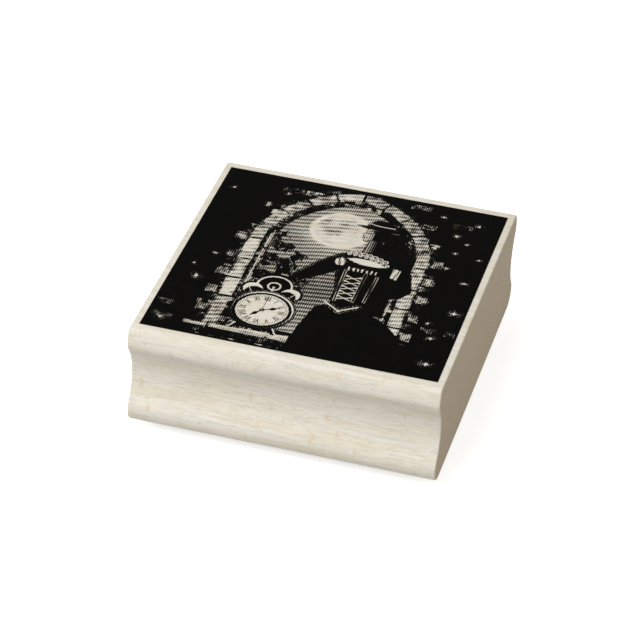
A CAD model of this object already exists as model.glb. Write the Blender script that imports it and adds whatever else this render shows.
"""Wood-mounted rubber stamp: an engraved die and a foam cushion under a block of moulded maple.

Everything is in metres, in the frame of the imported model: the die's printing face lies on z = 0, the
grain of the block runs along x, and the index picture's top edge is towards +y.
"""

import bpy
import numpy as np
from mathutils import Matrix, Vector


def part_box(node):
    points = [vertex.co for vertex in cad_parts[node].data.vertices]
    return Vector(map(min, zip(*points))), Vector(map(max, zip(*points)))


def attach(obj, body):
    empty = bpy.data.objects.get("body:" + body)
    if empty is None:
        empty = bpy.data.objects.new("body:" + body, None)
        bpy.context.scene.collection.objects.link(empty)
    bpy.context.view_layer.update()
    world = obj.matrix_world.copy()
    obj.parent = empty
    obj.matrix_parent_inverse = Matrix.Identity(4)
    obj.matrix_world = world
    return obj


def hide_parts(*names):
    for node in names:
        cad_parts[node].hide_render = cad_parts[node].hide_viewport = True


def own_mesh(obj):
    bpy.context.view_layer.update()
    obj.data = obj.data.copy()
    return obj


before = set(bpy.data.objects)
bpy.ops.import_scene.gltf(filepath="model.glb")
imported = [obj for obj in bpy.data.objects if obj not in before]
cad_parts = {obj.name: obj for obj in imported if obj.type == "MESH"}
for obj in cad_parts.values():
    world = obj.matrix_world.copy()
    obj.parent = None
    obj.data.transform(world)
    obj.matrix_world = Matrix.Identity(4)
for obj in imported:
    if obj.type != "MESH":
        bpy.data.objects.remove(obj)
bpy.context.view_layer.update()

MM = 0.001


# ---------------------------------------------------------------------------------------------------
# Table, light and camera
# The stamp stands on a plain pale light table under a wide soft lamp from the front left, and a long lens
# looks down on it a little to the right of its front.

block_low, block_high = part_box("wood_block")

LENS_MM, FILM_WIDTH_MM = 159.0, 36.0
NEAR_CLIP, FAR_CLIP = 0.01, 10.0
CAMERA_DISTANCE = 0.5892
AZIMUTH, ELEVATION, ROLL = np.radians((14.48, 35.45, -2.48))
AIM = np.array([3.83 * MM, -19.08 * MM, block_high.z])
TABLE_HALF = 3.0
TABLE_GLOW = 0.5
TABLE_GREY, TABLE_PALE = (0.90, 0.90, 0.895, 1), (0.93, 0.93, 0.93, 1)
ROOM_LIGHT = 0.64
WHITE = (1.0, 1.0, 1.0, 1.0)


def facing_out(azimuth, elevation):
    """The unit direction at an angle round from the front, towards the right, and an angle up from level."""
    return (np.sin(azimuth) * np.cos(elevation), -np.cos(azimuth) * np.cos(elevation), np.sin(elevation))


def place_camera():
    """A camera CAMERA_DISTANCE from AIM: round from the front, up, and rolled about its own view."""
    back = np.array(facing_out(AZIMUTH, ELEVATION))
    level = np.cross(-back, (0.0, 0.0, 1.0))
    level /= np.linalg.norm(level)
    down = np.cross(-back, level)
    right = np.cos(ROLL) * level + np.sin(ROLL) * down
    up = np.sin(ROLL) * level - np.cos(ROLL) * down
    matrix = np.eye(4)
    matrix[:3, 0], matrix[:3, 1], matrix[:3, 2] = right, up, back
    matrix[:3, 3] = AIM + CAMERA_DISTANCE * back
    data = bpy.data.cameras.new("camera")
    data.lens = LENS_MM
    data.sensor_width = FILM_WIDTH_MM
    data.clip_start, data.clip_end = NEAR_CLIP, FAR_CLIP
    camera = bpy.data.objects.new("camera", data)
    camera.matrix_world = Matrix(matrix.tolist())
    bpy.context.collection.objects.link(camera)
    bpy.context.scene.camera = camera


def add_lamp(name, azimuth, elevation, distance, size, watts):
    """A square area lamp that faces the stamp from the given angles in degrees."""
    towards = Vector(facing_out(*np.radians((azimuth, elevation))))
    data = bpy.data.lights.new(name, "AREA")
    data.size = size
    data.energy = watts
    lamp = bpy.data.objects.new(name, data)
    lamp.location = towards * distance
    lamp.rotation_euler = towards.to_track_quat("Z", "Y").to_euler()
    bpy.context.collection.objects.link(lamp)


def shader_node(tree, kind, sockets=None, **settings):
    """Adds a node with the given properties. sockets maps an input's name or number to a value or output."""
    made = tree.nodes.new(kind)
    for name, value in settings.items():
        setattr(made, name, value)
    for key, value in (sockets or {}).items():
        if isinstance(value, bpy.types.NodeSocket):
            tree.links.new(value, made.inputs[key])
        else:
            made.inputs[key].default_value = value
    return made


def new_surface(name, roughness, specular):
    """A material with one Principled BSDF. Returns it, its node tree, that shader and Object coordinates."""
    surface = bpy.data.materials.new(name)
    surface.use_nodes = True
    tree = surface.node_tree
    shader = tree.nodes["Principled BSDF"]
    shader.inputs["Roughness"].default_value = roughness
    shader.inputs["Specular IOR Level"].default_value = specular
    place = shader_node(tree, "ShaderNodeTexCoord").outputs["Object"]
    return surface, tree, shader, place


def mixed_colour(tree, factor, first, second, blend="MIX"):
    """first and second mixed by factor, as a colour output."""
    return shader_node(tree, "ShaderNodeMix", {0: factor, 6: first, 7: second}, data_type="RGBA",
                       blend_type=blend).outputs[2]


def noise(tree, vector, scale, detail, roughness=0.5):
    """Soft noise from 0 to 1, scale cells to a unit of the vector."""
    return shader_node(tree, "ShaderNodeTexNoise", {"Vector": vector, "Scale": scale, "Detail": detail,
                                                    "Roughness": roughness}).outputs["Fac"]


def mesh_object(name, points, faces, surface):
    """A mesh object from an array of points, a list of faces and a material."""
    mesh = bpy.data.meshes.new(name)
    mesh.from_pydata(points.tolist(), [], faces)
    mesh.materials.append(surface)
    made = bpy.data.objects.new(name, mesh)
    bpy.context.collection.objects.link(made)
    return made


def make_table():
    """A wide level square of pale translucent acrylic that glows a little, with faint clouding."""
    surface, tree, shader, place = new_surface("table_top", 0.9, 0.1)
    colour = mixed_colour(tree, noise(tree, place, 40.0, 4.0), TABLE_GREY, TABLE_PALE)
    tree.links.new(colour, shader.inputs["Base Color"])
    shader.inputs["Emission Color"].default_value = WHITE
    shader.inputs["Emission Strength"].default_value = TABLE_GLOW
    corners = TABLE_HALF * np.array([[-1, -1, 0], [1, -1, 0], [1, 1, 0], [-1, 1, 0]])
    table = mesh_object("table", corners, [[0, 1, 2, 3]], surface)
    table.visible_diffuse = False


place_camera()
make_table()
add_lamp("key_lamp", azimuth=-31, elevation=51, distance=0.66, size=0.42, watts=2.95)
world = bpy.data.worlds.new("studio")
world.use_nodes = True
background = world.node_tree.nodes["Background"]
background.inputs["Color"].default_value = WHITE
background.inputs["Strength"].default_value = ROOM_LIGHT
bpy.context.scene.world = world
bpy.context.scene.view_settings.view_transform = "Standard"


# ---------------------------------------------------------------------------------------------------
# Rubber die
# A thin sheet of dark grey stamp rubber, engraved by laser so that the picture's dark parts stand
# proud. The cut leaves its floor and walls duller and dustier than the smooth printing face.

RUBBER_DARK, RUBBER_PALE = (0.030, 0.030, 0.032, 1), (0.055, 0.055, 0.057, 1)
CUT_DARK, CUT_PALE = (0.075, 0.072, 0.070, 1), (0.13, 0.125, 0.12, 1)
CUT_STARTS, CUT_FULL = 0.05 * MM, 0.3 * MM
ENGRAVING_LINES = 2600.0


def maths(tree, operation, *terms):
    """The output of one Math node on the given numbers or outputs."""
    return shader_node(tree, "ShaderNodeMath", dict(enumerate(terms)), operation=operation).outputs[0]


def between(tree, value, low, high, curve="SMOOTHSTEP"):
    """How far a value has come from low to high, from 0 to 1, on an S-shaped or a straight curve."""
    return shader_node(tree, "ShaderNodeMapRange", {"Value": value, "From Min": low, "From Max": high},
                       interpolation_type=curve).outputs[0]


def set_rough(tree, shader, factor, spread, least):
    """Roughness that rises with a factor from 0 to 1: least, plus spread times the factor."""
    tree.links.new(maths(tree, "MULTIPLY_ADD", factor, spread, least), shader.inputs["Roughness"])


def set_bump(tree, shader, height, strength, depth):
    """Shades the surface as if it rose and sank by a height that runs from 0 to 1."""
    bump = shader_node(tree, "ShaderNodeBump", {"Height": height, "Strength": strength, "Distance": depth})
    tree.links.new(bump.outputs[0], shader.inputs["Normal"])


def make_die_rubber():
    """Dark rubber: fine speckle everywhere, and fine engraving lines on the floor behind the relief."""
    surface, tree, shader, place = new_surface("die_rubber", 0.62, 0.35)
    height = shader_node(tree, "ShaderNodeSeparateXYZ", {0: place}).outputs["Z"]
    engraved = between(tree, height, CUT_STARTS, CUT_FULL, "LINEAR")
    speckle = noise(tree, place, 9000.0, 3.0)
    cloud = noise(tree, place, 260.0, 5.0)
    lines = shader_node(tree, "ShaderNodeTexWave",
                        {"Vector": place, "Scale": ENGRAVING_LINES, "Distortion": 0.6},
                        bands_direction="Y").outputs["Fac"]
    proud = mixed_colour(tree, speckle, RUBBER_DARK, RUBBER_PALE)
    floor = mixed_colour(tree, cloud, CUT_DARK, CUT_PALE)
    tree.links.new(mixed_colour(tree, engraved, proud, floor), shader.inputs["Base Color"])
    set_rough(tree, shader, engraved, spread=0.25, least=0.55)
    cut_lines = maths(tree, "MULTIPLY", lines, engraved)
    set_bump(tree, shader, maths(tree, "MULTIPLY_ADD", cut_lines, 0.6, speckle), 0.35, 0.03 * MM)
    return surface


def finish_node(name, surface):
    """Puts a material on every slot of a CAD node."""
    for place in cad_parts[name].material_slots:
        place.material = surface


finish_node("rubber_die", make_die_rubber())


# ---------------------------------------------------------------------------------------------------
# Adhesive films
# Two thin sheets of clear acrylic adhesive, one each side of the cushion. Only their cut edges show,
# as fine glossy lines.

FILM_YELLOW, FILM_PALE = (0.62, 0.59, 0.48, 1), (0.74, 0.71, 0.60, 1)


def make_film():
    """Glossy, slightly yellow film with faint clouding."""
    surface, tree, shader, place = new_surface("adhesive_film", 0.22, 0.5)
    cloud = noise(tree, place, 700.0, 4.0)
    tree.links.new(mixed_colour(tree, cloud, FILM_YELLOW, FILM_PALE), shader.inputs["Base Color"])
    set_rough(tree, shader, cloud, spread=0.2, least=0.15)
    return surface


film = make_film()
finish_node("die_tape", film)
finish_node("block_tape", film)


# ---------------------------------------------------------------------------------------------------
# Foam cushion
# A square of pale closed-cell foam, cut with the die. The knife leaves its walls a touch hollow and
# shows the cells as small pits.

foam_low, foam_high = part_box("foam_cushion")
foam_thickness = foam_high.z - foam_low.z
FOAM_HOLLOW = 0.09 * MM
FOAM_CORNER = 0.5 * MM
CELLS_PER_METRE = 4200.0
FOAM_GREY, FOAM_PALE, CELL_SHADE = (0.50, 0.50, 0.48, 1), (0.62, 0.62, 0.60, 1), (0.34, 0.34, 0.33, 1)


def square_path(half, corner, count):
    """count points round a square: straight sides joined by quarter circles of radius corner.

    half is half the square's width. Returns the points and their outward directions, both worked out
    from the length walked along each side.
    """
    side = 2 * (half - corner)
    turn = corner * np.pi / 2
    walked = np.linspace(0, 4 * (side + turn), count, endpoint=False)
    leg, along = np.divmod(walked, side + turn)
    bend = np.clip(along - side, 0, turn) / corner
    start = leg * np.pi / 2
    direction = np.stack([np.cos(start + bend), np.sin(start + bend)], 1)
    local_x = half - corner + corner * np.cos(bend)
    local_y = np.minimum(along, side) - (half - corner) + corner * np.sin(bend)
    points = np.stack([local_x * np.cos(start) - local_y * np.sin(start),
                       local_x * np.sin(start) + local_y * np.cos(start)], 1)
    return points, direction


def closed_faces(rows, columns):
    """Faces between the rows of a grid whose columns close on themselves, and a fan to a pole at each end.

    The two poles are the points that follow the grid's own, the one next to its first row first.
    """
    index = np.arange(rows * columns).reshape(rows, columns)
    beside = np.roll(index, -1, 1)
    sides = np.stack([index[:-1], beside[:-1], beside[1:], index[1:]], 2).reshape(-1, 4)
    first_fan = np.stack([np.full(columns, index.size), beside[0], index[0]], 1)
    last_fan = np.stack([np.full(columns, index.size + 1), index[-1], beside[-1]], 1)
    return sides.tolist() + first_fan.tolist() + last_fan.tolist()


def make_foam_surface():
    """Pale foam: round cells a few tenths of a millimetre wide, seen as darker pits."""
    surface, tree, shader, place = new_surface("cushion_foam", 0.85, 0.2)
    cells = shader_node(tree, "ShaderNodeTexVoronoi", {"Vector": place, "Scale": CELLS_PER_METRE})
    pits = maths(tree, "MULTIPLY", cells.outputs["Distance"], cells.outputs["Distance"])
    base = mixed_colour(tree, noise(tree, place, 500.0, 4.0), FOAM_GREY, FOAM_PALE)
    tree.links.new(mixed_colour(tree, pits, CELL_SHADE, base), shader.inputs["Base Color"])
    set_bump(tree, shader, pits, 0.6, 0.08 * MM)
    return surface


def make_foam():
    """A wall carried round a square path, hollow by half a sine, closed by rings that shrink to poles."""
    around, wall_rows, face_rows, last_ring = 480, 9, 12, 0.02
    path, outward = square_path(foam_high.x, FOAM_CORNER, around)
    share = np.linspace(0, 1, wall_rows)
    inset = FOAM_HOLLOW * np.sin(np.pi * share)
    height = foam_low.z + foam_thickness * share
    walls = np.concatenate([path[None] - outward[None] * inset[:, None, None],
                            np.repeat(height[:, None, None], around, 1)], 2)
    rings = path[None] * np.linspace(1, last_ring, face_rows)[:, None, None]
    below = np.concatenate([rings, np.full((face_rows, around, 1), foam_low.z)], 2)[::-1]
    above = np.concatenate([rings, np.full((face_rows, around, 1), foam_high.z)], 2)
    rows = np.concatenate([below[:-1], walls, above[1:]])
    points = np.concatenate([rows.reshape(-1, 3), [[0, 0, foam_low.z], [0, 0, foam_high.z]]])
    return mesh_object("cushion", points, closed_faces(len(rows), around), make_foam_surface())


cushion = make_foam()
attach(cushion, "die")
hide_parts("foam_cushion")
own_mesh(cushion)


# ---------------------------------------------------------------------------------------------------
# Maple block
# A length sawn from moulded maple strip: bulge, finger cove and bead along the front and the back,
# and flat sawn ends. It is sanded and left bare, so the grain is open and the end grain is browner.

BULGE_R = 3.5 * MM
COVE_DEPTH = 2.95 * MM
BEAD_R = 3.0 * MM
BEAD_INSET = 0.25 * MM
BEAD_DROP = 3.5 * MM
LEAN = 30
TOP_R = 1.2 * MM
END_EASE = 0.35 * MM
SANDED_DIP = 0.05 * MM
DIP_RUN, SLANT_RUN, SLANT_RISE = 7.1 * MM, 11.3 * MM, 3.7 * MM
PITH_OFFSET = (0.0, 0.048, 0.100)
RINGS_PER_METRE = 950.0
RING_SWAY = 0.004
LONG_WARM, LONG_PALE, LONG_LATE = (0.668, 0.608, 0.488, 1), (0.706, 0.668, 0.582, 1), (0.52, 0.45, 0.34, 1)
THREAD, FIBRE, LONG_PORE = (0.69, 0.66, 0.59, 1), (0.46, 0.42, 0.34, 1), (0.36, 0.31, 0.25, 1)
RAY_FLECK = (0.60, 0.46, 0.29, 1)
END_DEEP, END_PALE = (0.344, 0.262, 0.168, 1), (0.377, 0.294, 0.194, 1)
END_LATE, END_PORE = (0.28, 0.205, 0.125, 1), (0.25, 0.195, 0.135, 1)


def arc(centre, radius, start, stop, count):
    """count points on a circle from angle start to angle stop, in degrees, ends included."""
    angle = np.radians(np.linspace(start, stop, count))
    return np.stack([centre[0] + radius * np.cos(angle), centre[1] + radius * np.sin(angle)], 1)


def moulding_section():
    """The block's closed outline across the grain, as (y, z) going round from the middle of the foot.

    Each side is a bulge, a two-radius cove, a bead that leans in on a larger radius above its widest
    line, and a small crown, which meet on common tangents: the line between two arcs' centres passes
    through the point where they meet.
    """
    edge = block_high.y
    height = block_high.z - block_low.z
    bead_z = height - BEAD_DROP
    cove_z = (BULGE_R + bead_z) / 2
    rise = cove_z - BULGE_R
    low_sum = (COVE_DEPTH**2 + rise**2) / (2 * COVE_DEPTH)
    step = COVE_DEPTH - BEAD_INSET
    top_sum = (step**2 + rise**2) / (2 * step)
    low_r, top_r = low_sum - BULGE_R, top_sum - BEAD_R
    low_angle = np.degrees(np.arcsin(rise / low_sum))
    top_angle = np.degrees(np.arcsin(rise / top_sum))
    foot = edge - BULGE_R
    deepest = edge - COVE_DEPTH
    bead_y = edge - BEAD_INSET - BEAD_R
    lean = np.radians(LEAN)
    side_r = (BEAD_DROP - TOP_R * (1 - np.sin(lean))) / np.sin(lean)
    side_y = edge - BEAD_INSET - side_r
    crown_y = side_y + (side_r - TOP_R) * np.cos(lean)
    crown_z = bead_z + (side_r - TOP_R) * np.sin(lean)
    across = np.linspace(0, 1, 24)[:, None]
    parts = [
        np.array([[0, 0]]) + across * [foot, 0],
        arc((foot, BULGE_R), BULGE_R, -90, low_angle, 26),
        arc((deepest + low_r, cove_z), low_r, 180 + low_angle, 180, 16),
        arc((deepest + top_r, cove_z), top_r, 180, 180 - top_angle, 12),
        arc((bead_y, bead_z), BEAD_R, -top_angle, 0, 12),
        arc((side_y, bead_z), side_r, 0, LEAN, 12),
        arc((crown_y, crown_z), TOP_R, LEAN, 90, 12),
        np.array([[crown_y, height]]) + across * [-crown_y, 0],
    ]
    side = np.concatenate([part[1:] for part in parts])
    section = np.concatenate([side, (side * [-1, 1])[::-1][1:]])
    return section + [0, block_low.z]


def outward_of(section):
    """Unit directions away from a closed outline that runs anticlockwise."""
    along = np.roll(section, -1, 0) - np.roll(section, 1, 0)
    outward = np.stack([along[:, 1], -along[:, 0]], 1)
    return outward / np.linalg.norm(outward, axis=1, keepdims=True)


def block_surface():
    """The outline carried along the grain, drawn in on quarter circles at both ends, then shrunk to a pole.

    Sanding leaves the moulded sides very slightly wavy: they dip inwards by slow sines along the grain.
    Returns the points as a grid, how much of each row is end grain, and the middle of the section.
    """
    section = moulding_section()
    outward = outward_of(section)
    ease_rows, middle_rows, cap_rows = 9, 44, 16
    ease = np.linspace(0, np.pi / 2, ease_rows)
    middle = np.linspace(block_low.x + END_EASE, block_high.x - END_EASE, middle_rows)
    x = np.concatenate([block_low.x + END_EASE * (1 - np.sin(ease[:0:-1])), middle,
                        block_high.x - END_EASE * (1 - np.sin(ease[1:]))])
    drawn_in = np.concatenate([1 - np.cos(ease[:0:-1]), 0 * middle, 1 - np.cos(ease[1:])])
    facing_side = outward[:, 0] ** 2
    wave = 2 + np.sin(x / DIP_RUN)[:, None] + np.sin(x[:, None] / SLANT_RUN + section[:, 1] / SLANT_RISE)
    dip = SANDED_DIP * wave * facing_side / 4
    drawn = section[None] - outward[None] * (END_EASE * drawn_in[:, None] + dip)[:, :, None]
    body = np.concatenate([np.repeat(x[:, None, None], len(section), 1), drawn], 2)
    centre = np.array([0, (block_low.z + block_high.z) / 2])
    shrink = np.linspace(1, 0, cap_rows + 2)[1:-1, None, None]

    def cap(rim, end_x):
        """Rings that shrink from the rim of one end towards its middle."""
        rings = centre + (rim - centre)[None] * shrink
        return np.concatenate([np.full((cap_rows, len(rim), 1), end_x), rings], 2)

    grid = np.concatenate([cap(drawn[0], block_low.x)[::-1], body, cap(drawn[-1], block_high.x)])
    end_share = np.concatenate([np.ones(cap_rows), drawn_in, np.ones(cap_rows)])
    return grid, end_share, centre


def make_grain_group():
    """Maple as a solid: growth rings round a far pith, fibres along x, pores, ray flecks and end grain.

    Rings are the distance from the pith's line, bent by slow noise, counted off in whole rings that each
    darken towards their late edge. Fibres, threads and pores are noise stretched along the grain, the
    pores short and sparse. Ray flecks are the middles of a few cells, combed into fine upright strokes.
    long_grain and end_grain are laid on in thin coats, and the second takes over by the share End Grain.
    """
    group = bpy.data.node_groups.new("maple_grain", "ShaderNodeTree")
    group.interface.new_socket("Place", in_out="INPUT", socket_type="NodeSocketVector")
    group.interface.new_socket("End Grain", in_out="INPUT", socket_type="NodeSocketFloat")
    group.interface.new_socket("Color", in_out="OUTPUT", socket_type="NodeSocketColor")
    group.interface.new_socket("Height", in_out="OUTPUT", socket_type="NodeSocketFloat")
    entry = group.nodes.new("NodeGroupInput")
    place, end = entry.outputs["Place"], entry.outputs["End Grain"]

    def moved(operation, by):
        return shader_node(group, "ShaderNodeVectorMath", {0: place, 1: by}, operation=operation).outputs[0]

    def stretched(x, y, z, detail, roughness=0.5):
        return noise(group, moved("MULTIPLY", (x, y, z)), 1.0, detail, roughness)

    def times(first, second):
        return maths(group, "MULTIPLY", first, second)

    sway = stretched(22, 55, 55, 2.0)
    from_pith = shader_node(group, "ShaderNodeSeparateXYZ", {0: moved("ADD", PITH_OFFSET)}).outputs
    squares = maths(group, "ADD", times(from_pith[1], from_pith[1]), times(from_pith[2], from_pith[2]))
    bent = maths(group, "MULTIPLY_ADD", sway, RING_SWAY, maths(group, "SQRT", squares))
    late = maths(group, "POWER", maths(group, "FRACT", times(bent, RINGS_PER_METRE)), 3.0)

    fibres = stretched(120, 1700, 1700, 5.0, 0.75)
    threads = stretched(20, 620, 620, 3.0)
    cloud = stretched(110, 300, 300, 4.0, 0.65)
    pores = between(group, stretched(600, 3100, 3100, 1.0), 0.56, 0.74)
    fleck_cells = shader_node(group, "ShaderNodeTexVoronoi",
                              {"Vector": moved("MULTIPLY", (420, 300, 240)), "Scale": 1.0})
    fleck_core = between(group, fleck_cells.outputs["Distance"], 0.42, 0.22)
    fleck_draw = shader_node(group, "ShaderNodeSeparateColor", {0: fleck_cells.outputs["Color"]}).outputs[0]
    chosen = between(group, fleck_draw, 0.45, 0.98)
    comb = between(group, stretched(1150, 150, 300, 2.0), 0.44, 0.60)
    flecks = times(times(fleck_core, chosen), comb)

    long_grain = mixed_colour(group, between(group, cloud, 0.35, 0.65), LONG_WARM, LONG_PALE)
    for share, tint in ((times(late, 0.16), LONG_LATE), (between(group, threads, 0.42, 0.70), THREAD),
                        (times(between(group, fibres, 0.56, 0.34), 0.35), FIBRE),
                        (times(pores, 0.28), LONG_PORE), (times(flecks, 0.50), RAY_FLECK)):
        long_grain = mixed_colour(group, share, long_grain, tint)

    dots = between(group, stretched(900, 4200, 4200, 1.0), 0.60, 0.72)
    end_grain = mixed_colour(group, cloud, END_DEEP, END_PALE)
    for share, tint in ((times(late, 0.34), END_LATE), (times(dots, 0.35), END_PORE)):
        end_grain = mixed_colour(group, share, end_grain, tint)

    colour = mixed_colour(group, end, long_grain, end_grain)
    lift = maths(group, "SUBTRACT", fibres, times(maths(group, "ADD", pores, dots), 0.6))
    leave = shader_node(group, "NodeGroupOutput")
    group.links.new(colour, leave.inputs["Color"])
    group.links.new(lift, leave.inputs["Height"])
    return group


def make_bare_maple():
    """Sanded maple with no finish: the grain group, with end grain where the mesh says so."""
    surface, tree, shader, place = new_surface("bare_maple", 0.62, 0.25)
    share = shader_node(tree, "ShaderNodeAttribute", attribute_name="end_grain").outputs["Fac"]
    grain = shader_node(tree, "ShaderNodeGroup", {"Place": place, "End Grain": share}, node_tree=grain_group)
    tree.links.new(grain.outputs["Color"], shader.inputs["Base Color"])
    set_bump(tree, shader, grain.outputs["Height"], 0.25, 0.05 * MM)
    return surface


def mark_points(piece, name, values):
    """Stores a value at each point of a piece's mesh for its material to read."""
    marks = piece.data.attributes.new(name, "FLOAT", "POINT")
    marks.data.foreach_set("value", values.astype(np.float32))


def make_block():
    """The block's grid as a closed mesh, a pole at each end, with its share of end grain at each point."""
    grid, end_share, centre = block_surface()
    rows, columns = grid.shape[:2]
    points = np.concatenate([grid.reshape(-1, 3), [[block_low.x, *centre], [block_high.x, *centre]]])
    made = mesh_object("maple_block", points, closed_faces(rows, columns), make_bare_maple())
    made.data.polygons.foreach_set("use_smooth", np.ones(len(made.data.polygons), bool))
    mark_points(made, "end_grain", np.append(np.repeat(end_share, columns), [1, 1]))
    return made


grain_group = make_grain_group()
maple_block = make_block()
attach(maple_block, "block")
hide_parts("wood_block")


# ---------------------------------------------------------------------------------------------------
# Index picture
# A film of black ink printed on the block's top face, showing what the die prints: a stone arch at
# night, the moon, a twin-bell clock and a standing figure. Bare maple shows where there is no ink,
# and the grey tones are a fine dot screen. The drawing's lengths are hundredths of the picture's side.

print_low, print_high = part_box("index_print")
HUNDREDTH = (print_high.x - print_low.x) / 100

ARCH_HALF, ARCH_RISE, SPRING = 31, 38, 10
ARCH_C = (ARCH_RISE**2 - ARCH_HALF**2) / (2 * ARCH_HALF)
STONE_W, REVEAL_W = 4.5, 3.5
BRICK_L, BRICK_H, MORTAR = 8.2, 3.7, 0.35
LEDGE = -43
BAND_PITCH, BAND_W, BAND_TILT = 2.2, 1.15, np.radians(13)
MOON, MOON_R = (-2.5, 23.5), 11
CLOCK, DIAL_R = (-14.5, -30), 8.8
HAT, HAT_TILT, BRIM_W, BRIM_H = (10, 28.2), -5, 17, 2.8
SOFT_EDGE = 0.13
LATTICE = 64
DOT_PITCH = 0.47 * MM
DOT_CONTRAST = 0.17
INK_ENDS, WOOD_STARTS = 0.345, 0.635
INK_DARK, INK_WORN = (0.0008, 0.0007, 0.0005, 1), (0.0026, 0.0023, 0.0019, 1)
INK_HAZE = (0.95, 0.95, 0.95, 1)


def mottle(u, v, size, seed):
    """Smooth noise from 0 to 1: random values on a lattice of the given size, blended by smooth steps."""
    lattice = np.random.default_rng(seed).random((LATTICE, LATTICE))
    a, b = u / size + 200, v / size + 200
    i, j = np.floor(a).astype(int), np.floor(b).astype(int)
    s, t = a - i, b - j
    s, t = s * s * (3 - 2 * s), t * t * (3 - 2 * t)
    i, j, beyond_i, beyond_j = i % LATTICE, j % LATTICE, (i + 1) % LATTICE, (j + 1) % LATTICE
    near = lattice[i, j] * (1 - s) + lattice[beyond_i, j] * s
    far = lattice[i, beyond_j] * (1 - s) + lattice[beyond_i, beyond_j] * s
    return near * (1 - t) + far * t


def worn(u, v, size, seed):
    """Three octaves of mottle, each half the size and half the weight of the last, from 0 to 1."""
    coarse, middling = 4 * mottle(u, v, size, seed), 2 * mottle(u, v, size / 2, seed + 1)
    return (coarse + middling + mottle(u, v, size / 4, seed + 2)) / 7


def cover(distance, soft=SOFT_EDGE):
    """1 inside a shape, 0 outside, and a straight ramp across its edge, from its signed distance."""
    return np.clip(0.5 - distance / (2 * soft), 0, 1)


def paint(tone, distance, value, soft=SOFT_EDGE):
    """Lays a value over the tone inside a shape."""
    tone += (value - tone) * cover(distance, soft)


def disc(u, v, at, radius):
    """Signed distance to a disc."""
    return np.hypot(u - at[0], v - at[1]) - radius


def bar(u, v, start, end, half):
    """Signed distance to a round-ended bar: to the nearest point of its middle line, less half its width."""
    run = np.subtract(end, start)
    share = np.clip(((u - start[0]) * run[0] + (v - start[1]) * run[1]) / (run @ run), 0, 1)
    return np.hypot(u - start[0] - share * run[0], v - start[1] - share * run[1]) - half


def outline(u, v, corners):
    """Signed distance to a straight-sided shape, taken to its nearest edge.

    A point is inside, and its distance negative, where a level ray from it crosses the edges an odd
    number of times.
    """
    nearest = np.full(u.shape, 1e9)
    inside = np.zeros(u.shape, bool)
    for (x0, y0), (x1, y1) in zip(corners, corners[1:] + corners[:1]):
        nearest = np.minimum(nearest, bar(u, v, (x0, y0), (x1, y1), 0))
        if y0 != y1:
            inside ^= ((y0 > v) != (y1 > v)) & (u < (x1 - x0) * (v - y0) / (y1 - y0) + x0)
    return np.where(inside, -nearest, nearest)


def arch(u, v, inset):
    """Signed distance to the pointed arch drawn in by inset: two circles that spring from straight piers."""
    radius = ARCH_HALF + ARCH_C - inset
    head = np.hypot(np.abs(u) + ARCH_C, v - SPRING) - radius
    return np.where(v > SPRING, head, np.abs(u) - ARCH_HALF + inset)


def turned(u, v, at, degrees):
    """Coordinates about a point, turned so that the first runs at the given angle."""
    a = np.radians(degrees)
    s, t = u - at[0], v - at[1]
    return s * np.cos(a) + t * np.sin(a), t * np.cos(a) - s * np.sin(a)


def lens(u, v, at, degrees, length, thickness):
    """Signed distance to the lens where two equal circles cross."""
    s, t = turned(u, v, at, degrees)
    radius = (length**2 + thickness**2) / (4 * thickness)
    return np.hypot(s, np.abs(t) + radius - thickness / 2) - radius


def banded(u, v):
    """Cosine bands that rise to the right and sway: 1 in the middle of a light band, 0 between two."""
    level = v * np.cos(BAND_TILT) - u * np.sin(BAND_TILT) + 0.25 * np.sin(u / 3.1) + 45 - BAND_W / 2
    return 0.5 + 0.5 * np.cos(2 * np.pi * level / BAND_PITCH)


def wall_tone(u, v):
    """A brick wall in the dark: most bricks are black, and a few, or those near the arch, catch light."""
    course = np.floor(v / BRICK_H)
    shift = u / BRICK_L + 0.5 * (course % 2)
    row, column = (course % LATTICE).astype(int), (np.floor(shift) % LATTICE).astype(int)
    pick = np.random.default_rng(5).random((LATTICE, LATTICE))[row, column]
    s, t = (shift % 1) * BRICK_L, v - course * BRICK_H
    inside = np.minimum(np.minimum(s, BRICK_L - s), np.minimum(t, BRICK_H - t)) - MORTAR
    grit = 0.6 * worn(u, v, 1.7, 31) + 0.4 * worn(u, v, 0.8, 34)
    near = np.exp(-np.maximum(arch(u, v, 0) - 1, 0) / 3.2)
    lit = np.clip(near * (0.35 + pick) + (pick > 0.90) * 0.75 - 0.35, 0, 1)
    return np.clip(lit * cover(-inside, 0.3) * (grit * 2.6 - 1.05), 0, 0.75)


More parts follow.
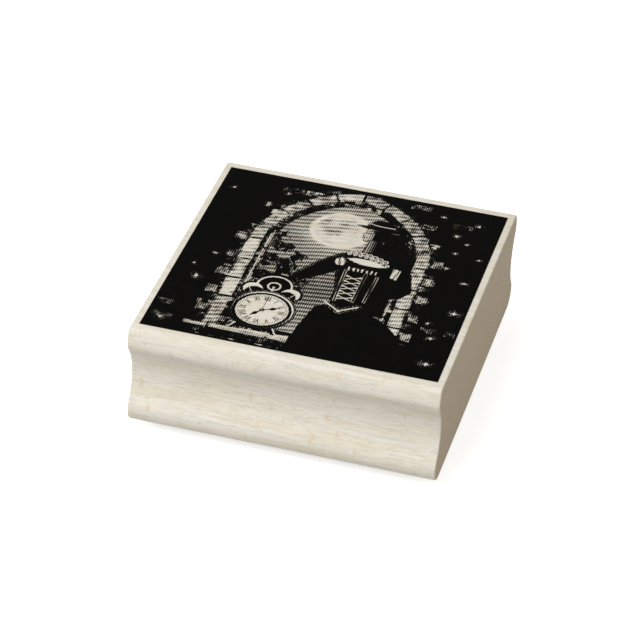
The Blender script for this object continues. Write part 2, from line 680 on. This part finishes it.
def add_arch_stones(u, v, tone):
    """A ring of dressed stones: random tone for each, worn faces, dark joints between them."""
    angle = np.degrees(np.arctan2(v - SPRING, np.abs(u) + ARCH_C))
    radius = np.hypot(np.abs(u) + ARCH_C, v - SPRING)
    voussoirs = np.array([15, 31, 47, 63])
    beds = np.array([-26, -15, -3, 10])
    above = v > SPRING
    number = np.where(above, 10 + np.searchsorted(voussoirs, angle), np.searchsorted(beds, v)) + 20 * (u > 0)
    joint = np.where(above, np.min(np.abs(radius * np.radians(angle - voussoirs[:, None, None])), 0),
                     np.min(np.abs(v - beds[:, None, None]), 0))
    joint = np.minimum(np.minimum(joint, np.abs(v - SPRING) + 0.1), np.where(above, np.abs(u), 9))
    ring = np.maximum(arch(u, v, 0), -arch(u, v, STONE_W))
    rough = (worn(u, v, 2.4, 41) - 0.5) * 1.5 + (mottle(u, v, 0.55, 43) - 0.5) * 0.5
    stone = np.maximum(np.maximum(ring, -42.5 - v), 0.42 - joint) + rough * 0.45
    shade = np.random.default_rng(8).random(64)[number.astype(int)]
    value = 0.40 + 0.24 * shade + 0.70 * (worn(u, v, 2.6, 44) - 0.46)
    value += 0.34 * (banded(u, v) - 0.5)
    paint(tone, stone, value, 0.22)
    for side in (-1, 1):
        for level in range(-36, 9, 11):
            low = level if side < 0 else level + 4
            block = np.maximum(np.abs(side * u - 33.75) - 1.75, np.abs(v - low - 2) - 2)
            paint(tone, block + rough * 1.3, 0.34 + 0.9 * (worn(u, v, 1.4, 47) - 0.45), 0.3)


HEDGE = ((-22, 14, 3), (-19, 7, 4.3), (-22, -1, 4.5), (-15, -3, 5), (-21, -11, 5), (-8, -10, 4.5),
         (-12, 3, 2.6))


def add_sky(u, v, tone):
    """Night sky through the arch: a glow round the moon, shaded by wavy level bands, over a dark hedge."""
    opening = np.maximum(arch(u, v, STONE_W + REVEAL_W), LEDGE + 3.5 - v)
    moon = disc(u, v, MOON, MOON_R)
    glow = np.exp(-np.maximum(moon, 0) / 15)
    low_glow = 0.5 * np.exp(-np.hypot((u + 2) / 7, (v + 37) / 6))
    bands = banded(u, v)
    cloud = worn(u, v, 9, 51)
    value = (0.30 + 0.24 * glow + 0.5 * low_glow) * (0.72 + 0.5 * cloud) + 0.31 * (bands - 0.5)
    crater = np.clip(worn(u, v, 5.5, 57) * 3.2 - 1.25 - (u - MOON[0]) / 16, 0, 1)
    moonlit = 0.86 - crater * (0.16 + 0.30 * (1 - bands)) - 0.13 * (1 - bands)
    moonlit += (0.95 - moonlit) * np.exp(-((moon + 1.2) / 0.8) ** 2)
    value += (moonlit - value) * cover(moon, 0.35)
    hedge = np.full(u.shape, 99.0)
    for x, y, r in HEDGE:
        hedge = np.minimum(hedge, disc(u, v, (x, y), r))
    ragged = hedge + 6.5 * (worn(u, v, 2.2, 61) - 0.44) + 1.5 * (mottle(u, v, 0.7, 62) - 0.5)
    leaf = 0.03 + 0.75 * np.clip(worn(u, v, 1.1, 64) * 2.4 - 1.45, 0, 1)
    value += (leaf - value) * cover(ragged, 0.5)
    paint(tone, opening + (worn(u, v, 1.4, 67) - 0.5) * 0.5, np.clip(value, 0, 1), 0.2)


def add_inner_edges(u, v, tone):
    """The lit inner edges of the piers: thin worn lines just inside the reveal, one long and one short."""
    line = np.abs(arch(u, v, STONE_W + 2.2)) - 0.7
    left = np.maximum(line, np.maximum(np.abs(v + 2.5) - 19.5, u))
    right = np.maximum(line, np.maximum(np.abs(v + 17) - 10, -u))
    rough = 0.5 * worn(u, v, 2.2, 74) + 0.5 * mottle(u, v, 0.6, 77)
    paint(tone, np.minimum(left, right) + (rough - 0.42) * 2.6, 0.25 + 0.75 * rough, 0.3)


def add_ledge(u, v, tone):
    """The sill: a strip of pale worn stone with two joints, brightest along its upper edge."""
    strip = outline(u, v, [(-37, LEDGE), (-2, LEDGE + 1.5), (-2, LEDGE - 2), (-37, LEDGE - 1.5)])
    strip = np.maximum(strip, 0.4 - np.minimum(np.abs(u + 29), np.abs(u + 9)))
    rough = worn(u, v, 1.8, 71)
    value = 0.62 + 0.45 * (rough - 0.4) + 0.22 * np.clip((v - LEDGE) / 1.5, -0.5, 1)
    paint(tone, strip + (rough - 0.45) * 0.9, value, 0.25)


def hour_numeral(u, v, hour):
    """Signed distance to a Roman numeral on a circle inside the dial's edge, its foot towards the middle."""
    letters = ("I", "II", "III", "IV", "V", "VI", "VII", "VIII", "IX", "X", "XI", "XII")[hour - 1]
    half = 1.0
    strokes = {"I": [(0, -half, 0, half)], "V": [(-0.45, half, 0, -half), (0.45, half, 0, -half)],
               "X": [(-0.45, half, 0.45, -half), (0.45, half, -0.45, -half)]}
    widths = [0.62 if letter == "I" else 1.2 for letter in letters]
    t, s = turned(u, v, CLOCK, 90 - 30 * hour)
    s, t = -s, t - (DIAL_R - 2.3)
    nearest = np.full(u.shape, 99.0)
    start = -sum(widths) / 2
    for letter, width in zip(letters, widths):
        for x0, y0, x1, y1 in strokes[letter]:
            middle = start + width / 2
            nearest = np.minimum(nearest, bar(s, t, (middle + x0, y0), (middle + x1, y1), 0.14))
        start += width
    return nearest


def add_clock(u, v, tone):
    """A twin-bell clock: dark case, lit rim, bells, carrying loop, feet, and a pale dial with hands."""
    x, y = CLOCK
    s, t = u - x, v - y
    from_middle = np.hypot(s, t)
    bells = np.minimum(np.hypot(np.abs(s) - 6.5, t - 11) - 4.2, np.hypot(s, t - 15.5) - 6)
    feet = outline(np.abs(s), t, [(2, -8), (5, -8), (8, -12.5), (6.6, -12.5)])
    paint(tone, np.minimum(np.minimum(from_middle - DIAL_R - 2.4, bells), feet), 0.02)
    light = 0.5 + 0.5 * np.cos(np.arctan2(t, s) - np.radians(65))
    paint(tone, np.abs(from_middle - DIAL_R - 1.3) - 0.34, 0.10 + 0.85 * light**1.6)
    paint(tone, np.abs(from_middle - DIAL_R - 2.15) - 0.10, 0.10 + 0.4 * light)
    for side in (-1, 1):
        dome = np.hypot(s - side * 6.5, t - 11) - 3.3
        cap = np.hypot(s - side * 5.5, t - 9.3) - 3.2
        paint(tone, np.maximum(dome, -cap), 0.88 - 0.25 * np.clip((11.5 - t) / 3, 0, 1), 0.2)
        paint(tone, bar(s, t, (side * 6.4, 9.0), (side * 8.0, 11.8), 0.22), 0.55)
        paint(tone, bar(s, t, (side * 6.4, -9.3), (side * 7.8, -11.9), 0.28), 0.75)
    loop_legs = np.abs(np.abs(s) - 5.8 + (14.5 - t) * 0.08)
    loop = np.where(t > 14.5, np.hypot(s / 1.08, t - 14.5) - 5.4, loop_legs)
    paint(tone, np.maximum(np.abs(loop) - 0.32, 12.6 - t), 0.86)
    paint(tone, np.abs(np.hypot(s, t - 14.2) - 2.1) - 0.32, 0.80)
    paint(tone, bar(s, t, (0, 11.4), (0, 13.8), 0.35), 0.70)
    paint(tone, from_middle - DIAL_R, 0.97 - 0.22 * (from_middle / DIAL_R) ** 4 - 0.10 * worn(u, v, 3, 81))
    for hour in range(1, 13):
        paint(tone, hour_numeral(u, v, hour), 0.03, 0.10)
    minute = np.abs((np.degrees(np.arctan2(s, t)) + 3) % 6 - 3) * np.pi / 180 * from_middle
    paint(tone, np.maximum(minute - 0.07, np.abs(from_middle - DIAL_R + 0.6) - 0.28), 0.15, 0.10)
    paint(tone, np.abs(from_middle - DIAL_R + 0.95) - 0.05, 0.25, 0.10)
    hub = disc(s, t, (0, 0), 0.85)
    for degrees, length, half in ((-128, 4.6, 0.30), (25, 5.9, 0.22)):
        a, b = turned(s, t, (0, 0), degrees)
        hand = np.minimum(bar(a, b, (0, 0), (length, 0), half), lens(a, b, (length * 0.62, 0), 0, 2.6, 1.5))
        hub = np.minimum(hub, hand)
    paint(tone, hub, 0.02, 0.10)
    paint(tone, bar(s, t, (0, 0), (0, 7.6), 0.08), 0.12, 0.10)
    paint(tone, disc(s, t, (0, 0), 0.3), 0.75, 0.10)


HEAD = [(8, 28), (6.1, 27.6), (5.7, 26.2), (6, 25.4), (4.9, 23.7), (5.8, 23.1), (5.4, 22.6), (5.9, 22.1),
        (5.6, 21.6), (6.1, 21), (5.9, 20.3), (6.8, 19.6), (8.4, 19.8), (11, 22)]
BODICE = [(1.6, 10.4), (8, 14), (14, 15), (22, 11.6), (24.6, 6), (23.6, -3), (23.4, -11), (23.6, -22),
          (5.5, -20), (5, -11), (3, -3)]
NEAR_ARM = [(1.8, 10.8), (-4.5, 4), (-10.6, -6), (-10.4, -8.2), (-7.2, -8.9), (0, -2.5), (5, 2.5)]
FAR_ARM = [(21.5, 11.6), (27, 5), (29.4, -5), (26.6, -9.2), (20, -12.4), (19.6, -9.6), (24.6, -6),
           (24.8, -3.6), (21, 2)]
HAIR = ((11, 28.5, 4.6), (15.4, 25, 5), (17.6, 18.5, 5.4), (19.8, 12.5, 5.4), (21.5, 7, 4))
SKIRT_CUT = [(5.5, -19), (1.2, -22.5), (-0.9, -34), (-2.8, -50), (36, -50), (36, -19)]


def figure_shape(u, v):
    """Signed distance to the figure: hat, calm profile, hair, neck, bodice, arms and a domed skirt."""
    s, t = turned(u, v, HAT, HAT_TILT)
    crown = np.maximum(disc(s, t, (0.2, 0.6), 5.2), -t)
    shape = np.minimum(lens(s, t, (0, 0), 0, BRIM_W, BRIM_H), crown)
    shape = np.minimum(shape, np.minimum(disc(u, v, (10.2, 24.4), 4.5), outline(u, v, HEAD)))
    for x, y, r in HAIR:
        shape = np.minimum(shape, disc(u, v, (x, y), r) + 0.7 * (mottle(u, v, 1.5, 91) - 0.5))
    shape = np.minimum(shape, outline(u, v, [(8.4, 21.5), (13, 21.5), (13.6, 13), (7.8, 13)]))
    for part in (BODICE, NEAR_ARM, FAR_ARM):
        shape = np.minimum(shape, outline(u, v, part) - 0.25)
    skirt = np.maximum(disc(u, v, (9.5, -46), 26.5), outline(u, v, SKIRT_CUT))
    return np.minimum(shape, skirt)


def add_figure(u, v, tone):
    """The figure as a dark shape against the sky, with moonlight along its near edges and on its dress."""
    shape = figure_shape(u, v)
    paint(tone, shape, 0.02)
    # Moonlight: where the shape's edge faces the moon
    slope_v, slope_u = np.gradient(shape)
    facing = np.clip((-slope_u * 0.85 + slope_v * 0.5) / (np.hypot(slope_u, slope_v) + 1e-9), 0, 1)
    rim = np.exp(-((shape + 0.55) / 0.28) ** 2) * facing * (v > -18) * (u < 18)
    tone += (0.75 - tone) * 0.55 * rim * worn(u, v, 3, 93)
    # Moonlit face and neck, fading into the shade of the hair
    face = np.maximum(outline(u, v, HEAD) + 0.22, u - 9.2)
    neck = np.maximum(outline(u, v, [(8.6, 21.2), (12, 21.2), (12.4, 13.4), (8, 13.4)]) + 0.2, u - 11.4)
    paint(tone, neck, 0.46 - 0.13 * (u - 8.6), 0.3)
    paint(tone, face, 0.70 - 0.10 * (u - 5.8), 0.3)
    # Brow, lowered eyelid with its lashes, nostril, closed lips and the line of the jaw
    for start, end, half in (((6.3, 26.25), (8.0, 26.6), 0.15), ((6.5, 25.0), (8.1, 25.05), 0.17),
                             ((6.4, 24.9), (6.1, 24.6), 0.10), ((5.7, 23.3), (6.1, 23.4), 0.12),
                             ((5.9, 22.1), (7.1, 22.2), 0.13), ((6.7, 19.9), (9.6, 21.4), 0.18)):
        paint(tone, bar(u, v, start, end, half), 0.05, 0.12)
    # Hat band and brim
    s, t = turned(u, v, HAT, HAT_TILT)
    paint(tone, np.maximum(np.abs(t - 2.1 - 0.02 * s * s) - 0.3, np.abs(s - 0.2) - 4.7), 0.60)
    paint(tone, np.maximum(np.abs(lens(s, t, (0, 0), 0, BRIM_W, BRIM_H) + 0.35) - 0.1, t), 0.40)
    # Hair in strands
    strand = np.sin((np.hypot(u - 8, v - 12) + 1.2 * mottle(u, v, 2.5, 95)) * 5.2)
    locks = np.minimum(disc(u, v, (19.4, 12.8), 4.6), disc(u, v, (15.2, 24), 4))
    hair = np.minimum(disc(u, v, (17.6, 18.5), 4.9), locks)
    tone += 0.07 * cover(hair, 0.6) * np.clip(strand * 2 - 1.1, 0, 1)
    # Lace collar: two rows of scallops
    for row, (drop, size) in enumerate(((0, 1.1), (1.5, 0.8))):
        for step in range(7 + row):
            at = (5 - row + 2 * step, 12.6 - drop - 0.08 * (step - row * 0.5) ** 2)
            ring = np.abs(disc(u, v, at, size * 0.72)) - 0.2
            paint(tone, ring, 0.85)
            paint(tone, disc(u, v, at, 0.2), 0.7)
    # Shoulder, rounded by shade, and the lit cloth of both sleeves
    shoulder = lens(u, v, (11, 7.4), -6, 14, 3.6)
    paint(tone, shoulder, 0.80 - 0.30 * np.clip((6.8 - v) / 1.6, 0, 1) + 0.12 * worn(u, v, 2, 97), 0.3)
    puff = np.hypot((u - 2.4) / 1.0, (v - 5.6) / 1.25) - 1.9
    paint(tone, puff, 0.62 + 0.3 * np.sin(u * 3.2 + v * 0.8), 0.3)
    sleeve = outline(u, v, [(20.4, 6.8), (23.4, 6.4), (22.8, 0.6), (20.6, 1.2)])
    paint(tone, sleeve, 0.66 + 0.28 * np.sin(u * 3.4 - v * 0.5), 0.25)
    # Bodice: three boned seams, crossed laces with eyelets, a frill, and a pointed hem edged with piping
    for start, end in (((5.4, 1), (6.4, -17)), ((12.6, 1), (12.4, -16)), ((16.6, 0), (16, -15))):
        paint(tone, np.abs(bar(u, v, start, end, 0.45)) - 0.12, 0.60)
    for row in range(5):
        y = -2 - 3 * row
        paint(tone, np.minimum(bar(u, v, (6.9, y), (11.5, y - 1.9), 0.22),
                               bar(u, v, (11.5, y), (6.9, y - 1.9), 0.22)), 0.78)
        for x in (6.9, 11.5):
            paint(tone, np.abs(disc(u, v, (x, y), 0.36)) - 0.12, 0.9)
    ruffle = 1.6 + 0.5 * np.sin(u * 2.4)
    frill = np.maximum(np.abs(v - 2.2) - ruffle * 0.6, np.abs(u - 10.6) - 5.2)
    pleats = 0.15 + 0.75 * np.sin(u * 4.1 + 2 * mottle(u, v, 1.4, 99)) + 0.2 * (v - 2)
    paint(tone, frill, np.clip(pleats, 0.02, 0.85), 0.3)
    for start, end in (((3.6, -18.6), (9.7, -22.8)), ((15, -18.6), (9.1, -22.8))):
        paint(tone, bar(u, v, start, end, 0.34), 0.78)
        paint(tone, np.abs(bar(u, v, start, end, 1.1)) - 0.09, 0.45)
    # Skirt: faint folds falling from the waist
    fold = np.sin(np.degrees(np.arctan2(u - 11, -16 - v)) / 3.1 + 2 * mottle(u, v, 6, 103))
    skirt = np.maximum(shape, v + 23)
    tone += 0.03 * cover(skirt + 0.6, 0.8) * np.clip(fold * 2 - 1.2, 0, 1) * worn(u, v, 4, 105)


SPARKS = ((-45, 38, 1.4), (-26, 40, 1.2), (-39, -3, 1.3), (-44, -11, 1.2), (-41, -18, 2), (42, 41, 1.6),
          (29, 43, 1.5), (36, 33, 1.6), (40.5, 29, 1.1), (38, 22.5, 1.2), (46.5, 21, 1.1), (37, 13, 1.4),
          (45, 6, 1.6), (46, -12, 2.2), (39, -20, 1.4), (42, -28, 1.8), (44, -42, 2.4), (-45, -44, 1.8))


def add_sparks(u, v, tone):
    """Sparks on the wall: four points and a round core with a gritty halo, each a different size."""
    grit = worn(u, v, 0.9, 107)
    for x, y, spread in SPARKS:
        size = 0.8 * spread
        points = (np.sqrt(np.abs(u - x)) + np.sqrt(np.abs(v - y))) ** 2 - size
        ragged = np.minimum(points, disc(u, v, (x, y), 0.30 * size)) + 0.9 * (grit - 0.5)
        paint(tone, ragged + 0.2, 0.72, 0.3)
        halo = np.exp(-(((u - x) / (1.4 * size)) ** 2) - ((v - y) / (1.1 * size)) ** 2)
        tone += 0.45 * halo * np.clip(grit * 3.4 - 1.3, 0, 1) * (1 - tone)


def picture_tone(u, v):
    """How much bare wood shows at each point of the picture, from 0 to 1, painted from the wall forwards."""
    tone = wall_tone(u, v)
    add_arch_stones(u, v, tone)
    add_sparks(u, v, tone)
    add_sky(u, v, tone)
    add_inner_edges(u, v, tone)
    add_ledge(u, v, tone)
    add_figure(u, v, tone)
    add_clock(u, v, tone)
    border = np.minimum(50 - np.abs(u), 50 - np.abs(v))
    return np.clip(tone, 0, 1) * np.clip((border - 0.6) / 0.4, 0, 1)


def make_index_ink():
    """Black ink over the grain group's maple, with bare wood where the tone is above a fine dot screen.

    The screen adds two cosines, along x and along y, so that there is a dot every DOT_PITCH. Wood shows
    from where tone and screen together pass INK_ENDS, and all of it from WOOD_STARTS.
    """
    surface, tree, shader, place = new_surface("index_ink", 0.6, 0.02)
    grain = shader_node(tree, "ShaderNodeGroup", {"Place": place, "End Grain": 0.0}, node_tree=grain_group)
    tone = shader_node(tree, "ShaderNodeAttribute", attribute_name="tone").outputs["Fac"]
    parts = shader_node(tree, "ShaderNodeSeparateXYZ", {0: place}).outputs
    turn = 2 * np.pi / DOT_PITCH
    across, along = [maths(tree, "COSINE", maths(tree, "MULTIPLY", part, turn)) for part in parts[:2]]
    screened = maths(tree, "MULTIPLY_ADD", maths(tree, "ADD", across, along), DOT_CONTRAST, tone)
    bare = between(tree, screened, INK_ENDS, WOOD_STARTS)
    thin = between(tree, grain.outputs["Height"], 0.2, 0.8, "LINEAR")
    ink = mixed_colour(tree, thin, INK_DARK, INK_WORN)
    hazed = mixed_colour(tree, 1.0, grain.outputs["Color"], INK_HAZE, "MULTIPLY")
    tree.links.new(mixed_colour(tree, bare, ink, hazed), shader.inputs["Base Color"])
    set_rough(tree, shader, bare, spread=0.12, least=0.5)
    set_bump(tree, shader, grain.outputs["Height"], 0.12, 0.05 * MM)
    return surface


def stepped(*runs):
    """Grid lines from runs of (start, stop, number of cells), so that fine work gets closer lines."""
    return np.concatenate([np.linspace(a, b, n, endpoint=False) for a, b, n in runs] + [[runs[-1][1]]])


def make_print_part(name, across, along, surface):
    """One part of the film: a level grid with the tone at each point, straight edges, and one face below."""
    u, v = np.meshgrid(across, along)
    tone = picture_tone(u, v).reshape(-1)
    top = np.stack([u * HUNDREDTH, v * HUNDREDTH, np.full(u.shape, print_high.z)], 2).reshape(-1, 3)
    index = np.arange(u.size).reshape(u.shape)
    rim = np.concatenate([index[0, :-1], index[:-1, -1], index[-1, :0:-1], index[:0:-1, 0]])
    points = np.concatenate([top, top[rim] * [1, 1, 0] + [0, 0, print_low.z]])
    under = np.arange(len(rim)) + u.size
    cells = np.stack([index[:-1, :-1], index[:-1, 1:], index[1:, 1:], index[1:, :-1]], 2).reshape(-1, 4)
    walls = np.stack([rim, under, np.roll(under, -1), np.roll(rim, -1)], 1)
    made = mesh_object(name, points, cells.tolist() + walls.tolist() + [under[::-1].tolist()], surface)
    mark_points(made, "tone", np.concatenate([tone, tone[rim]]))
    return made


left_lines = stepped((-50, -26, 80), (-26, -3, 180), (-3, 0, 34))
right_lines = stepped((0, 26, 200), (26, 50, 94))
front_lines = stepped((-50, -43, 30), (-43, -12, 200), (-12, 0, 64))
back_lines = stepped((0, 16, 96), (16, 36, 140), (36, 50, 58))
index_ink = make_index_ink()
for end_name, across in (("left", left_lines), ("right", right_lines)):
    for side_name, along in (("front", front_lines), ("back", back_lines)):
        part = make_print_part(f"picture_{side_name}_{end_name}", across, along, index_ink)
        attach(part, "block")
        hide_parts("index_print")
